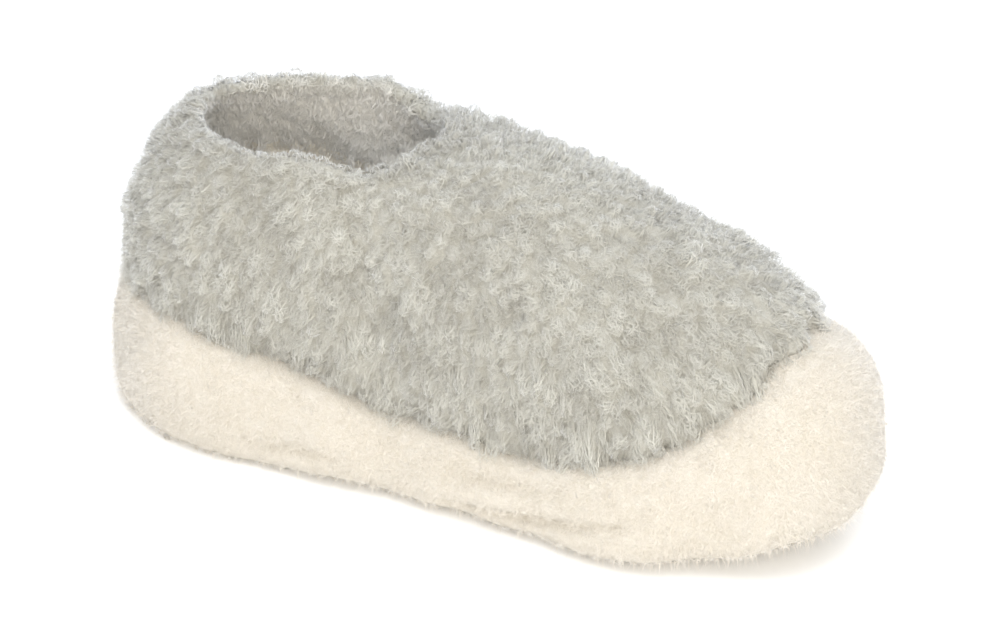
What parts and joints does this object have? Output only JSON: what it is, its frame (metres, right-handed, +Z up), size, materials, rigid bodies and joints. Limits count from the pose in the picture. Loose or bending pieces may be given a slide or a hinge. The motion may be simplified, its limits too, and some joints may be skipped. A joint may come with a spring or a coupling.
{
  "type": "wool slipper",
  "caption": "Left slip-on house slipper in thick wool fleece: grey upper with a rolled collar, cream sole turned up all round as a soft bumper.",
  "frame": {"origin": "on the floor, under the middle of the slipper's bounding box", "axes": "+X from heel to toe, -Y to the inner (arch) side, +Z up"},
  "size_m": [0.265, 0.1184, 0.105],
  "materials": {
    "sole_fleece": "cream curly wool pile, matt",
    "upper_fleece": "light grey curly wool pile, matt",
    "insole_fleece": "cream wool pile, pressed flat, matt"
  },
  "bodies": {
    "root": {"sole": "sole_fleece", "upper": "upper_fleece", "insole": "insole_fleece"}
  },
  "joints": []
}
